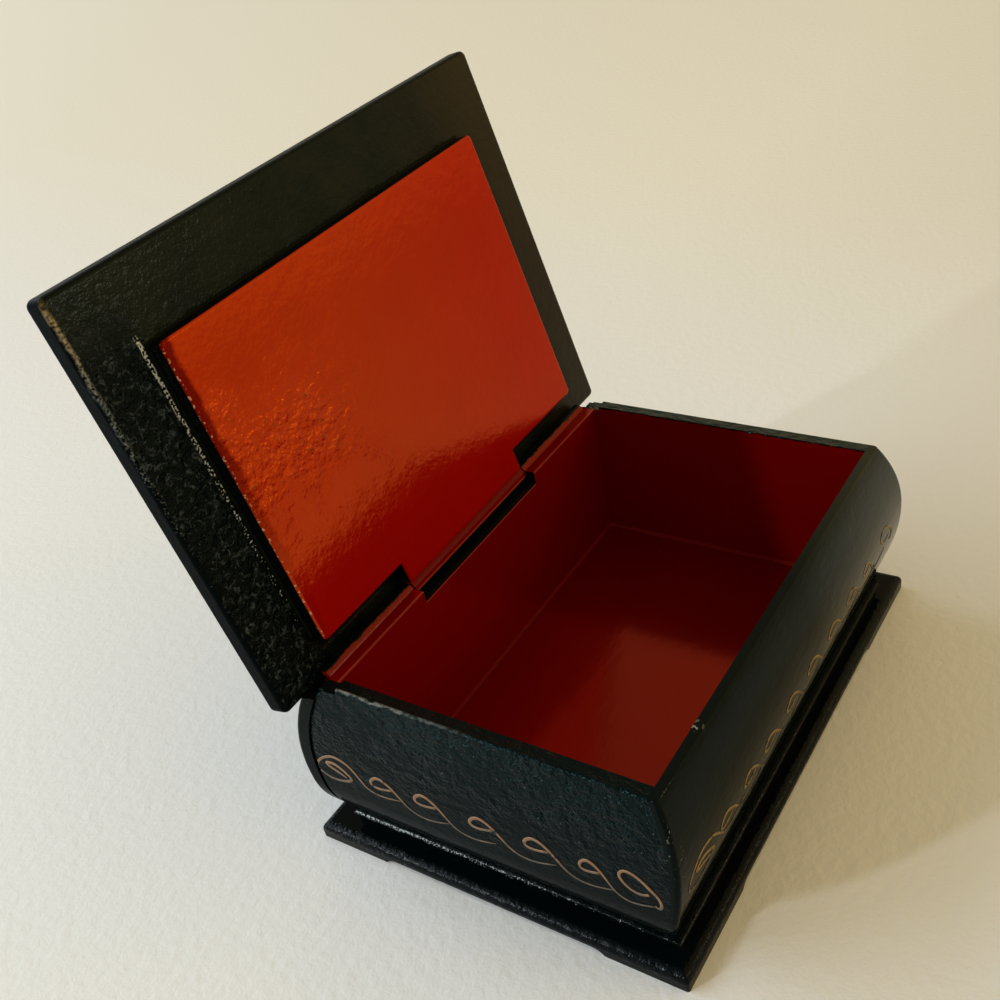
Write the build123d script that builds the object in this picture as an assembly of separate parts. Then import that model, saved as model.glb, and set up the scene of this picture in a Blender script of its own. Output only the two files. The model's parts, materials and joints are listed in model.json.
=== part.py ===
from build123d import *
import os
from math import cos, radians, sin

# A papier mache lacquer box with swelled walls, on a plinth, with its lid standing open.
# Millimetres. X runs along the hinge, the front is -Y, and the origin is at the middle of the underside.

# ---------------------------------------------------------------- driving dimensions
# Body, measured outside
rim_length = 100.5       # along X at the rim
rim_depth = 69.8         # along Y at the rim
body_ahead = 0.6         # how far the walls stand ahead of the plinth's middle
rim_z = 40.2             # height of the rim
wall_foot_z = 6.8        # where the walls stand on the neck
end_swell = 4.6          # how far an end wall swells out past its rim
end_belly_z = 17.0       # height of its widest place
side_swell = 4.3         # the same for the front and back walls
side_belly_z = 25.3
end_foot_inset = 0.8     # how far an end wall's foot lies inside its rim
side_foot_inset = 0.2    # the same for the front and back walls

# Wall thickness at the rim, where the walls are straight inside and swelled outside
end_rim = 2.6
front_rim = 1.6
back_rim = 5.0
front_lap = 1.6          # thickness of the front board where it covers an end board
back_lap = 3.2           # the same for the back board, the seam seen on the end
rim_round = 0.6          # rounding of the rim's outer edge
arris_round = 0.9        # rounding of the body's four corners
seam_width = 0.9         # open groove in an end wall, along the end of the back board
seam_depth = 0.45

# Plinth, neck and floor
plinth_past_end = 5.35   # how far it stands out past the rim at each end
plinth_past_side = 5.0   # the same at the front and back
plinth_height = 3.5
plinth_round = 1.8       # rounding of its upper edge
plinth_corner = 0.5      # rounding of its upright corners
foot_share = 0.2         # length of a bracket foot, as a share of its side
arch_rise = 1.3          # height of the shallow arch between two feet
arch_reach = 7.0         # how far the arch is scooped in under the edge
arch_run = 2.6           # length of the curve from foot to arch
neck_past_foot = 0.55    # how far the neck stands out past the walls' foot
neck_cove = 0.6          # hollow rounding at the foot of the neck
floor_top_z = 5.6

# Hinge
hinge_drop = 1.75        # axis below the rim
hinge_inset = 1.1        # axis in from the back of the rim
barrel_r = 1.65
pin_r = 0.6
pin_fit = 0.02           # radial play of the pin in the two outer barrels, filled by glue
pin_run = 0.06           # radial running play in the centre barrel
glue_line = 0.03         # round a barrel in its groove
centre_barrel = 41.0     # length of the lid's barrel
barrel_end_gap = 0.5     # between two barrels, and between a barrel and an end wall
pin_short = 0.8          # how far the pin stops short of the outer barrels' ends
notch_gap = 0.35         # under and beside the moving centre barrel
hinge_step = 1.0         # the rim is this much lower along the hinge
hinge_step_ahead = 1.5   # how far ahead of the back wall's inner face that step starts

# Lid, measured closed
lid_open_angle = 103.5   # from closed to the stop
lid_past_end = 6.85      # how far it reaches past the rim at each end
lid_aside = 0.5          # how far it was set towards +X on its hinge
lid_past_front = 11.65
lid_back_past_axis = 1.1
lid_thick = 4.6
lid_corner = 1.3
lid_top_round = 1.2
lid_under_round = 1.0
lid_gap = 0.25           # between the closed lid and the rim
stop_gap = 0.3           # between the open lid's edge and its stop
panel_height = 3.5
panel_end_gap = 3.0      # from a centred closed panel to the inside of an end wall
panel_front_gap = 0.8    # from the closed panel to the inside of the front wall
panel_back_gap = 2.2     # from the closed panel to the inside of the back wall
panel_corner = 1.0
panel_round = 0.5
panel_cove = 0.6         # hollow rounding where the panel meets the lid board
tongue_cover = 0.5       # how far the tongue reaches past the front of the barrel, as a share of its radius
tongue_round = 1.4       # rounding of the tongue's end

# ---------------------------------------------------------------- places worked out from them
inner_x = rim_length / 2 - end_rim
rim_front_y = -rim_depth / 2 - body_ahead
rim_back_y = rim_depth / 2 - body_ahead
inner_front_y = rim_front_y + front_rim
inner_back_y = rim_back_y - back_rim
axis_y = rim_back_y - hinge_inset
axis_z = rim_z - hinge_drop
hinge_top_z = rim_z - hinge_step
under_z = rim_z + lid_gap                      # underside of the closed lid
lid_back_y = axis_y + lid_back_past_axis
lid_front_y = rim_front_y - lid_past_front
lid_length = rim_length + 2 * lid_past_end
panel_front_y = inner_front_y + panel_front_gap
panel_back_y = inner_back_y - panel_back_gap
panel_length = 2 * (inner_x - panel_end_gap)
plinth_length = rim_length + 2 * plinth_past_end
plinth_depth = rim_depth + 2 * plinth_past_side
groove_r = barrel_r + glue_line
beyond = 20.0                                  # cutting tools reach this far past what they cut


# ---------------------------------------------------------------- helpers
def block(x_span, y_span, z_span):
    """A plain box from three (low, high) spans."""
    size = [high - low for low, high in (x_span, y_span, z_span)]
    middle = [(high + low) / 2 for low, high in (x_span, y_span, z_span)]
    return Pos(*middle) * Box(*size)


def along_x(face_yz, x_low, x_high):
    """Extrude a face drawn as (y, z) from x_low to x_high."""
    return extrude(Plane((x_low, 0, 0), x_dir=(0, 1, 0), z_dir=(1, 0, 0)) * face_yz, x_high - x_low)


def rod_x(radius, x_low, x_high):
    """A round rod on the hinge axis."""
    return along_x(Pos(axis_y, axis_z) * Circle(radius), x_low, x_high)


def swelled(half_rim, swell, belly_z, foot_inset):
    """A wall-to-wall section: each side is two arcs that meet upright at the belly."""
    rim = (half_rim, rim_z)
    belly = (half_rim + swell, belly_z)
    foot = (half_rim - foot_inset, wall_foot_z)
    upper = TangentArc(belly, rim, tangent=(0, 1))
    lower = TangentArc(belly, foot, tangent=(0, -1))
    side = [upper, lower]
    other = [mirror(arc, about=Plane.YZ) for arc in side]
    top = Line(rim, (-half_rim, rim_z))
    bottom = Line(foot, (-foot[0], wall_foot_z))
    return make_face([*side, *other, top, bottom])


def side_section(lap=0):
    """The section across the box, drawn as (y, z) and shrunk by a lap on each side."""
    return Pos(-body_ahead, 0) * swelled(rim_depth / 2 - lap, side_swell, side_belly_z, side_foot_inset)


def between_ends(lap=0):
    """Everything between the outsides of the two end walls, shrunk by a lap at each end."""
    reach = rim_depth / 2 + side_swell + beyond
    section = swelled(rim_length / 2 - lap, end_swell, end_belly_z, end_foot_inset)
    return extrude(Plane((0, reach, 0), x_dir=(1, 0, 0), z_dir=(0, -1, 0)) * section, 2 * reach)


def body_block():
    """The outside of the four walls as one block: the two sections meet in curved corners."""
    reach = rim_length / 2 + end_swell
    body = along_x(side_section(), -reach, reach) & between_ends()
    corners = [edge for edge in body.edges() if abs(edge.tangent_at(0.5).Z) > 0.5]
    body = fillet(corners, arris_round)
    rim_edges = body.edges().filter_by_position(Axis.Z, rim_z - 0.01, rim_z + 0.01)
    return fillet(rim_edges, rim_round)


def lap_core(lap):
    """What lies inside a lap of the given thickness."""
    reach = rim_length / 2 + end_swell + beyond
    return along_x(side_section(lap), -reach, reach)


def end_zone(side):
    """Everything past the inside of one end wall: side is -1 on the left and 1 on the right."""
    near, far = sorted((side * inner_x, side * (rim_length / 2 + end_swell + beyond)))
    return block((near, far), (-beyond - rim_depth, rim_depth + beyond), (0, rim_z + beyond))


# ---------------------------------------------------------------- walls
def front_wall():
    wall = body_block() & block(
        (-plinth_length, plinth_length), (-plinth_depth, inner_front_y), (0, 2 * rim_z))
    for side in (-1, 1):
        wall -= end_zone(side) & lap_core(front_lap)
    return wall


def stop_cut():
    """Cut behind the barrels: it clears them and the open lid, and its floor is the lid's stop."""
    lean = radians(lid_open_angle)
    up_lid = Vector(-cos(lean), sin(lean))               # up along the open lid, as (y, z)
    out_of_lid = Vector(sin(lean), cos(lean))
    edge = Vector(axis_y, axis_z) - up_lid * (lid_back_past_axis + stop_gap)
    inner = edge + out_of_lid * (barrel_r * 0.5 / out_of_lid.X)
    outer = edge + out_of_lid * beyond
    corners = [(inner.X, inner.Y), (outer.X, outer.Y), (outer.X, rim_z + beyond), (inner.X, rim_z + beyond)]
    return make_face(Polyline(*corners, close=True))


def hinge_groove():
    """The section cut along the whole top of the back wall, for the barrels, the lid and the step."""
    seat = Pos(axis_y, axis_z) * Circle(groove_r)
    open_top = Pos(axis_y, axis_z) * Rectangle(2 * groove_r, beyond, align=(Align.CENTER, Align.MIN))
    step = Pos(inner_back_y - beyond, hinge_top_z) * Rectangle(
        beyond + rim_depth, beyond, align=(Align.MIN, Align.MIN))
    return seat + open_top + step + stop_cut()


def back_wall():
    wall = body_block() & block((-plinth_length, plinth_length), (inner_back_y, plinth_depth), (0, 2 * rim_z))
    for side in (-1, 1):
        wall -= end_zone(side) & lap_core(back_lap)
    wall -= along_x(hinge_groove(), -plinth_length, plinth_length)
    notch_half = centre_barrel / 2 + barrel_end_gap
    notch_floor_z = axis_z - barrel_r - notch_gap
    wall -= block((-notch_half, notch_half), (0, plinth_depth), (notch_floor_z, rim_z + beyond))
    return wall


def seam_groove(side):
    """The open seam in the outside of an end wall, along the end of the back board."""
    beside_lap = lap_core(back_lap) - lap_core(back_lap + seam_width) - between_ends(seam_depth)
    return beside_lap & end_zone(side) & block(
        (-plinth_length, plinth_length), (0, plinth_depth), (0, rim_z + beyond))


def end_wall(side):
    wall = body_block() & end_zone(side) & lap_core(front_lap)
    past_back_lap = end_zone(side) - lap_core(back_lap)
    wall -= past_back_lap & block(
        (-plinth_length, plinth_length), (0, plinth_depth + beyond), (0, rim_z + beyond))
    wall -= seam_groove(side)
    step_y = inner_back_y - hinge_step_ahead
    return wall - block(
        (-plinth_length, plinth_length), (step_y, plinth_depth), (hinge_top_z, rim_z + beyond))


# ---------------------------------------------------------------- plinth, neck and floor
def arch_tool(side_length, half_width):
    """The scoop under one edge, lying along X with its outer face at y = 0."""
    half_span = side_length * (0.5 - foot_share)
    run_in = TangentArc((half_span - arch_run, arch_rise), (half_span, 0), tangent=(1, 0))
    run_out = mirror(run_in, about=Plane.YZ)
    top = Line((arch_run - half_span, arch_rise), (half_span - arch_run, arch_rise))
    bottom = Line((-half_span, 0), (half_span, 0))
    face = make_face([run_in, run_out, top, bottom])
    return extrude(Plane.XZ * face, amount=half_width, both=True)


def plinth_board():
    board = extrude(Rectangle(plinth_length, plinth_depth), plinth_height)
    board = fillet(board.faces().sort_by(Axis.Z)[-1].edges(), plinth_round)
    board = fillet(board.edges().filter_by(Axis.Z), plinth_corner)
    for turn, reach, side_length in (
            (0, plinth_depth / 2, plinth_length), (90, plinth_length / 2, plinth_depth),
            (180, plinth_depth / 2, plinth_length), (270, plinth_length / 2, plinth_depth)):
        board -= Rot(Z=turn) * (Pos(0, -reach, 0) * arch_tool(side_length, arch_reach))
    return board


def neck_outline(margin=0):
    """The neck seen from above, or a rectangle a margin larger all round."""
    past_end = neck_past_foot + margin - end_foot_inset
    past_side = neck_past_foot + margin - side_foot_inset
    return Pos(0, -body_ahead) * Rectangle(rim_length + 2 * past_end, rim_depth + 2 * past_side)


def inside_block(z_low, z_high):
    """The straight inside of the box between two heights."""
    return block((-inner_x, inner_x), (inner_front_y, inner_back_y), (z_low, z_high))


def plinth_step():
    """The neck: drawn on a slab, so that its foot can be hollowed, then cut off the slab."""
    slab = extrude(neck_outline(beyond), plinth_height)
    neck = slab + extrude(Pos(0, 0, plinth_height) * neck_outline(), wall_foot_z - plinth_height)
    slab_top = neck.faces().filter_by(Axis.Z).sort_by(SortBy.AREA)[-2]
    neck = fillet(slab_top.inner_wires()[0].edges(), neck_cove)
    neck = split(neck, Plane.XY.offset(plinth_height), keep=Keep.TOP)
    return neck - inside_block(0, rim_z)


def floor_board():
    return inside_block(plinth_height, floor_top_z)


# ---------------------------------------------------------------- hinge
def outer_barrel(side):
    start = centre_barrel / 2 + barrel_end_gap
    near, far = sorted((side * start, side * (inner_x - barrel_end_gap)))
    return rod_x(barrel_r, near, far) - rod_x(pin_r + pin_fit, near - beyond, far + beyond)


def hinge_pin():
    half = inner_x - barrel_end_gap - pin_short
    return rod_x(pin_r, -half, half)


def open_lid(closed):
    """Turn a piece drawn with the lid closed back to where the lid stands open."""
    return closed.rotate(Axis((0, axis_y, axis_z), (1, 0, 0)), -lid_open_angle)


def lid_knuckle():
    half = centre_barrel / 2
    return open_lid(rod_x(barrel_r, -half, half) - rod_x(pin_r + pin_run, -plinth_length, plinth_length))


# ---------------------------------------------------------------- lid
def lid_board():
    depth = lid_back_y - lid_front_y
    outline = Pos(lid_aside, (lid_back_y + lid_front_y) / 2, under_z) * RectangleRounded(
        lid_length, depth, lid_corner)
    board = extrude(outline, lid_thick)
    board = fillet(board.faces().sort_by(Axis.Z)[-1].edges(), lid_top_round)
    board = fillet(board.faces().sort_by(Axis.Z)[0].edges(), lid_under_round)
    return open_lid(board)


def lid_panel():
    """The panel is drawn on a slab in the lid board's place, for its hollow, and cut off the slab."""
    depth = panel_back_y - panel_front_y
    low_z = under_z - panel_height
    middle = Pos(lid_aside, (panel_back_y + panel_front_y) / 2, under_z)
    tongue_y = axis_y - (1 - tongue_cover) * barrel_r
    slab = extrude(middle * Rectangle(plinth_length, plinth_depth), lid_thick)
    panel = slab + extrude(middle * RectangleRounded(panel_length, depth, panel_corner), -panel_height)
    slab_foot = panel.faces().filter_by(Axis.Z).sort_by(Axis.Z)[1]
    panel = fillet(slab_foot.inner_wires()[0].edges(), panel_cove)
    panel = split(panel, Plane.XY.offset(under_z), keep=Keep.BOTTOM)
    panel += block((-centre_barrel / 2, centre_barrel / 2), (panel_back_y - panel_corner, tongue_y),
                   (low_z, under_z))
    red_edges = panel.faces().sort_by(Axis.Z)[0].edges().sort_by(Axis.Y)
    panel = fillet(red_edges[-1], tongue_round)
    panel = fillet(panel.faces().sort_by(Axis.Z)[0].edges().sort_by(Axis.Y)[:-1], panel_round)
    panel -= rod_x(groove_r, -plinth_length, plinth_length)
    return open_lid(panel)


# ---------------------------------------------------------------- one file for each piece
pieces = {
    "plinth_board": plinth_board(),
    "plinth_step": plinth_step(),
    "floor_board": floor_board(),
    "front_wall": front_wall(),
    "back_wall": back_wall(),
    "left_wall": end_wall(-1),
    "right_wall": end_wall(1),
    "hinge_knuckle_left": outer_barrel(-1),
    "hinge_knuckle_right": outer_barrel(1),
    "hinge_pin": hinge_pin(),
    "lid_board": lid_board(),
    "lid_panel": lid_panel(),
    "lid_knuckle": lid_knuckle(),
}
os.makedirs("parts", exist_ok=True)
for name, solid in pieces.items():
    export_step(solid, f"parts/{name}.step")
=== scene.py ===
# %% [markdown]
# # A small lacquered papier mache box, dressed for the camera
#
# The box is thirteen stiff pieces of pressed and glued paper pulp, lacquered black outside and red
# inside. The solid model of those pieces is ready. This lesson gives them their lacquer, paints the
# thin bronze scroll that runs round the foot of the walls, and sets up the table, the light and the
# camera. Everything is in metres, in the frame of the solid model.

# %% Load the solid model
import json
from math import cos, pi, radians, sin

import bpy
from mathutils import Matrix, Vector


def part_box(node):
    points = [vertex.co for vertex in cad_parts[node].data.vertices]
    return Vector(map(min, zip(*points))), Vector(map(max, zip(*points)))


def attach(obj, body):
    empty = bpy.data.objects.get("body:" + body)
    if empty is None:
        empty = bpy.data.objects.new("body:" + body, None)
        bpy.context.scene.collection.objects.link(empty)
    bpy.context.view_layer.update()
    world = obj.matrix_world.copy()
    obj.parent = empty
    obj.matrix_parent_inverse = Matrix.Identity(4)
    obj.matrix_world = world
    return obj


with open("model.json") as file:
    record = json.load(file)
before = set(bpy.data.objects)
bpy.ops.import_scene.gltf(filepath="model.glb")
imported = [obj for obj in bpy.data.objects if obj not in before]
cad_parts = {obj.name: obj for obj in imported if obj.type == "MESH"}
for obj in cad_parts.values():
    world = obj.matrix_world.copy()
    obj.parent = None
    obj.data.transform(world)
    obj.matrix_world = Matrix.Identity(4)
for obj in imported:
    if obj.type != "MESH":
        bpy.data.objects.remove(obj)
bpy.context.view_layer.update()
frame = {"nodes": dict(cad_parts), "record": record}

nodes = frame["nodes"]
bpy.ops.object.select_all(action="DESELECT")
print("pieces in the solid model:", len(nodes))

# %% [markdown]
# ## Lengths
# One name is kept for a millimetre, because the box is small and its paint is measured in tenths of
# a millimetre. The few places the paint needs are read off the solid model.

# %% Lengths that the paint needs
mm = 0.001
rim_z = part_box("left_wall")[1].z
inner_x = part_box("floor_board")[1].x
inner_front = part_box("floor_board")[0].y
inner_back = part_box("back_wall")[0].y
barrel_low, barrel_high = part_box("lid_knuckle")
hinge_place = Vector((0, (barrel_low.y + barrel_high.y) / 2, (barrel_low.z + barrel_high.z) / 2))
lid_opening = radians(frame["record"]["behaviour"]["joints"][0]["range_deg"][1])
lid_gap, panel_height = 0.25 * mm, 3.5 * mm
lid_under = rim_z + lid_gap
panel_face = lid_under - panel_height
print("rim height in mm:", round(rim_z / mm, 2), "hinge line in mm:", hinge_place / mm)

# %% [markdown]
# ## Three helpers for every finish
# Paint colours are written as they look on a screen, in hex, and turned to the linear light values
# that the renderer mixes. A node is added by one function, which takes the kind of node, what goes
# into its sockets, and its settings. Where a socket is given a node, its first working output is
# linked, so a chain of nodes reads like a sentence. A colour mix takes its share in socket 0 and its
# two colours in sockets 6 and 7.

# %% Colour and node helpers
MATH, MIX, NOISE, SPREAD = "ShaderNodeMath", "ShaderNodeMix", "ShaderNodeTexNoise", "ShaderNodeMapRange"


def linear(hex_colour):
    parts = [int(hex_colour[i:i + 2], 16) / 255 for i in (1, 3, 5)]
    return [p / 12.92 if p <= 0.04045 else ((p + 0.055) / 1.055) ** 2.4 for p in parts] + [1.0]


def plug(tree, node, sockets):
    for socket, value in sockets.items():
        if isinstance(value, bpy.types.Node):
            value = next(output for output in value.outputs if output.enabled)
        if isinstance(value, bpy.types.NodeSocket):
            tree.links.new(value, node.inputs[socket])
        else:
            node.inputs[socket].default_value = value


def add(tree, kind, sockets=None, **settings):
    node = tree.nodes.new(kind)
    for name, value in settings.items():
        setattr(node, name, value)
    plug(tree, node, sockets or {})
    return node


def new_finish(name):
    """An empty material, its tree, its shader and the place of each point of the piece."""
    material = bpy.data.materials.new(name)
    material.use_nodes = True
    tree = material.node_tree
    tree.nodes.clear()
    shader = add(tree, "ShaderNodeBsdfPrincipled")
    add(tree, "ShaderNodeOutputMaterial", {"Surface": shader})
    return material, tree, shader, add(tree, "ShaderNodeTexCoord").outputs["Object"]


def wear_finish(finish, *names):
    for name in names:
        for slot in nodes[name].material_slots:
            slot.material = finish
    print(finish.name, "->", ", ".join(names))


# %% [markdown]
# ## The camera
# The camera looks down at the open box from the front left, a little rolled, as one holds a phone.
# Its axes are worked out from a compass angle, a slope and the roll. A constraint that turns it to
# the box would be quicker, but leaves no say over the roll. Its lens follows from how many pixels
# its focal length spans.

# %% Camera
look_turn, look_slope, look_roll = radians(38.936), radians(-36.81), radians(-12.029)
camera_place = Vector((-148.54, -99.38, 178.91)) * mm
film_width, render_side, focal_pixels = 36, 1000, 1179.06
ahead = Vector((cos(look_slope) * cos(look_turn), cos(look_slope) * sin(look_turn), sin(look_slope)))
level_right = ahead.cross(Vector((0, 0, 1))).normalized()
level_up = level_right.cross(ahead)
right = level_right * cos(look_roll) + level_up * sin(look_roll)
up = level_up * cos(look_roll) - level_right * sin(look_roll)
bpy.ops.object.camera_add()
camera = bpy.context.object
camera.name = "camera"
camera.matrix_world = Matrix.Translation(camera_place) @ Matrix((right, up, -ahead)).transposed().to_4x4()
camera.data.sensor_width = film_width
camera.data.lens = focal_pixels / render_side * film_width
camera.data.shift_x, camera.data.shift_y = -0.02, 0.05
camera.data.clip_start, camera.data.clip_end = 0.01, 20
bpy.context.scene.camera = camera
print("lens:", round(camera.data.lens, 2), "mm, on a film", film_width, "mm wide")

# %% [markdown]
# ## Table and light
# The box stands on a table painted with a pale, faintly leathery satin paint. Far from the box it is
# painted warmer, and darker in the far right corner, as painted shade where less of the window's
# light reaches. A wide window stands behind the box on the left: it is the cool light, and the open
# lid throws its shadow to the front. The rest of the room gives back a warm light, strongest from the
# front on the right and weak from behind, so the inside of the box stays dark. A narrow bright strip
# at the window's left side, where the sun catches the frame, adds little light, but pebbled lacquer
# needs a small bright source to glint in. A faint lamp low at the front on the right does the same
# for the front wall.

# %% Table
table_size = 6
bpy.ops.mesh.primitive_plane_add(size=table_size, location=(0, 0, 0))
table_top = bpy.context.object
table_top.name = "table_top"
table_paint, tree, shader, where = new_finish("painted_table")
apart = add(tree, "ShaderNodeSeparateXYZ", {0: where})
# Painted shade: the table turns warmer far off and darker in the far right corner.
far_off = add(tree, SPREAD, {"Value": apart.outputs["X"], "From Min": 0.06, "From Max": 0.27})
to_right = add(tree, SPREAD, {"Value": apart.outputs["Y"], "From Min": 0.10, "From Max": -0.25})
painted_shade_corner = add(tree, MATH, {0: far_off, 1: to_right}, operation="MULTIPLY")
warm = add(tree, MIX, {0: far_off, 6: linear("#F2F2F0"), 7: linear("#F6F1E2")}, data_type="RGBA")
tone = add(tree, MIX, {0: painted_shade_corner, 6: warm, 7: linear("#DAD4C6")}, data_type="RGBA")
leathery = add(tree, NOISE, {"Vector": where, "Scale": 1 / (2.4 * mm), "Detail": 4, "Roughness": 0.6})
table_bump = add(tree, "ShaderNodeBump", {"Height": leathery, "Distance": 0.65 * mm, "Strength": 0.35})
plug(tree, shader, {"Base Color": tone, "Normal": table_bump, "Roughness": 0.5, "Specular IOR Level": 0.3})
table_top.data.materials.append(table_paint)
print(table_paint.name, "->", table_top.name)


# %% Lamps and room
def add_lamp(name, direction, distance, width, height, watts, colour):
    """A rectangular lamp that faces the box from the given direction."""
    place = Vector(direction).normalized() * distance
    bpy.ops.object.light_add(type="AREA", location=place)
    lamp = bpy.context.object
    lamp.name = name
    lamp.rotation_euler = place.to_track_quat("Z", "Y").to_euler()
    lamp.data.shape = "RECTANGLE"
    lamp.data.size, lamp.data.size_y = width, height
    lamp.data.energy = watts
    lamp.data.color = linear(colour)[:3]
    return lamp


add_lamp("window", (-0.26, 0.81, 0.53), 2.4, 2.93, 1.12, 49.0, "#D4E4F8")
add_lamp("sunny_frame", (-0.84, 0.44, 0.34), 0.9, 0.04, 0.09, 2.2, "#F0F8FF")
add_lamp("far_lamp", (0.45, -0.83, 0.33), 0.9, 0.04, 0.08, 0.4, "#FFF0DC")
bpy.context.scene.view_settings.view_transform = "Standard"
world = bpy.data.worlds.new("room")
bpy.context.scene.world = world
world.use_nodes = True
tree = world.node_tree
tree.nodes.clear()
aim = add(tree, "ShaderNodeTexCoord").outputs["Generated"]
bright_side = (0.55, -0.80, 0.25)
facing = add(tree, "ShaderNodeVectorMath", {0: aim, 1: bright_side}, operation="DOT_PRODUCT")
to_front = facing.outputs["Value"]
bright = add(tree, SPREAD, {
    "Value": to_front, "From Min": -0.3, "From Max": 1.0, "To Min": 0.33, "To Max": 0.86})
warm = add(tree, SPREAD, {"Value": to_front, "From Min": -0.3, "From Max": 0.5})
room_colour = add(tree, MIX, {0: warm, 6: linear("#E6EAD8"), 7: linear("#FFDF9C")}, data_type="RGBA")
room_light = add(tree, "ShaderNodeBackground", {"Color": room_colour, "Strength": bright})
pale = add(tree, "ShaderNodeBackground", {"Color": linear("#EFE6D2"), "Strength": 1.0})
path = add(tree, "ShaderNodeLightPath")
seen = add(tree, "ShaderNodeMixShader", {0: path.outputs["Is Camera Ray"], 1: room_light, 2: pale})
add(tree, "ShaderNodeOutputWorld", {"Surface": seen})

# %% [markdown]
# ## Patterns that the lacquers share
# Oil lacquer is brushed over the paper in many coats and rubbed down, so it is a dark, glossy
# dielectric. What tells it from plastic is its skin: pebbles about a millimetre and a half across,
# drawn out a little along the brush, with a finer grain on them, and wear wherever fingers and
# edges meet. The functions below make the pebbles as a bump, and mark bands with unsteady edges,
# scattered specks and worn patches. A mark is a value that is 1 where it holds and 0 elsewhere.


# %% Pebbles, bands and patches
def pebbles(tree, where, depth, drawn_out=(1, 1, 1), turn=(0, 0, 0), strength=1.0):
    """Bump of brushed lacquer. Depth is the height of the pebbles, a number or a node."""
    turned = add(tree, "ShaderNodeMapping", {"Vector": where, "Rotation": turn, "Scale": drawn_out})
    broad = add(tree, NOISE, {"Vector": turned, "Scale": 1 / (1.7 * mm), "Detail": 3, "Roughness": 0.55})
    fine = add(tree, NOISE, {"Vector": turned, "Scale": 1 / (0.5 * mm), "Detail": 2})
    both = add(tree, MATH, {0: fine, 1: 0.3, 2: broad}, operation="MULTIPLY_ADD")
    return add(tree, "ShaderNodeBump", {"Height": both, "Distance": depth, "Strength": strength})


def band(tree, value, low, high, soft=0.1 * mm, wander=None):
    """1 between two values of a coordinate and 0 outside, with soft edges that may wander."""
    if wander:
        value = add(tree, MATH, {0: wander, 1: value}, operation="ADD")
    rise = add(tree, SPREAD, {"Value": value, "From Min": low - soft, "From Max": low + soft})
    fall = add(tree, SPREAD, {"Value": value, "From Min": high + soft, "From Max": high - soft})
    return add(tree, MATH, {0: rise, 1: fall}, operation="MULTIPLY")


def ragged(tree, where, size, reach):
    """A length between plus and minus reach that changes over the given size."""
    noise = add(tree, NOISE, {"Vector": where, "Scale": 1 / size, "Detail": 3, "Roughness": 0.6})
    return add(tree, SPREAD, {
        "Value": noise, "From Min": 0.3, "From Max": 0.7, "To Min": -reach, "To Max": reach})


def all_of(tree, first, *others):
    """The product of several marks: 1 only where all of them are."""
    for other in others:
        first = add(tree, MATH, {0: first, 1: other}, operation="MULTIPLY")
    return first


def either(tree, first, *others):
    """The strongest of several marks at each point."""
    for other in others:
        first = add(tree, MATH, {0: first, 1: other}, operation="MAXIMUM")
    return first


def specks(tree, where, size, share):
    """Small scattered spots of the given size. Share, a number or a node, is how much they cover."""
    noise = add(tree, NOISE, {"Vector": where, "Scale": 1 / size, "Detail": 1, "Roughness": 0.4})
    least = add(tree, SPREAD, {"Value": share, "To Min": 0.78, "To Max": 0.45})
    over = add(tree, MATH, {0: noise, 1: least}, operation="SUBTRACT")
    return add(tree, SPREAD, {"Value": over, "From Min": 0.0, "From Max": 0.06})


def patch(tree, where, place, size):
    """1 at a place in mm, fading to 0 at the given size, as a finger-worn spot does."""
    centre = [length * mm for length in place]
    gap = add(tree, "ShaderNodeVectorMath", {0: where, 1: centre}, operation="DISTANCE").outputs["Value"]
    return add(tree, SPREAD, {"Value": gap, "From Min": size * mm, "From Max": size * 0.3 * mm})


# %% [markdown]
# ## The walls
# A wall wears two lacquers. Black covers its outside and the rim, red its inside and the back
# board's upper edge along the hinge, and a hand painter's line parts them just below the rim. That
# line runs across faces, so one material parts the colours by place, not one material a face. The
# black is brushed on the ends, where it pebbles strongly above and smooths out towards the foot, and
# smoother on the front and back. It is glossier near the rim and towards the right, where hands have
# polished it. Towards the foot its black is painted a hazy brown, a painted reflection of the table.
# The rim and the upright corners are rubbed through in places to the pale ground coat. The same
# pale colour is painted along the left rim's outer edge, partly as wear and partly as a painted
# highlight, and as painted glints high on the left wall. Three functions mark the red, the painted
# highlight along the red's upper edge, and the wear with the painted highlight and glints. The
# fourth makes the finish from them.

# %% Colours and places on the walls
BLACK, BLACK_CLOUD, RED = linear("#040A0B"), linear("#0A1213"), linear("#880402")
GROUND_AND_GLINT, GROUND_AND_GLINT_DARK = linear("#C8CCC6"), linear("#726E62")
FOOT_REFLECTION, EDGE_HIGHLIGHT_RED, WARM_SHEEN = linear("#26271F"), linear("#B8483A"), linear("#FFC890")
START, END = -1.0, 1.0  # places past the whole box, for a band with no edge on one side
past_left, past_right = -60 * mm, 60 * mm
crisp, clean = 0.02 * mm, 0.05 * mm  # how soft a painted edge is
notch_half, notch_floor = 21 * mm, 36.2 * mm
notch_room = 0.1 * mm
step_z, step_width = 38.9 * mm, 2.3 * mm
red_below_rim, red_past_inside = 0.35 * mm, 0.08 * mm


# %% Marks on the walls
def red_on_walls(tree, across, y, z, unsteady):
    """Red inside and on the back board's step along the hinge, but not in its notch."""
    inside = all_of(
        tree, band(tree, z, START, rim_z - red_below_rim, clean, unsteady),
        band(tree, across, START, inner_x + red_past_inside, crisp),
        band(tree, y, inner_front - red_past_inside, inner_back + step_width, crisp))
    notch = all_of(
        tree, band(tree, across, START, notch_half + notch_room, crisp),
        band(tree, y, inner_back + 0.05 * mm, END, crisp),
        band(tree, z, notch_floor + notch_room, END, crisp))
    return all_of(tree, inside, add(tree, MATH, {0: 1, 1: notch}, operation="SUBTRACT"))


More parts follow.
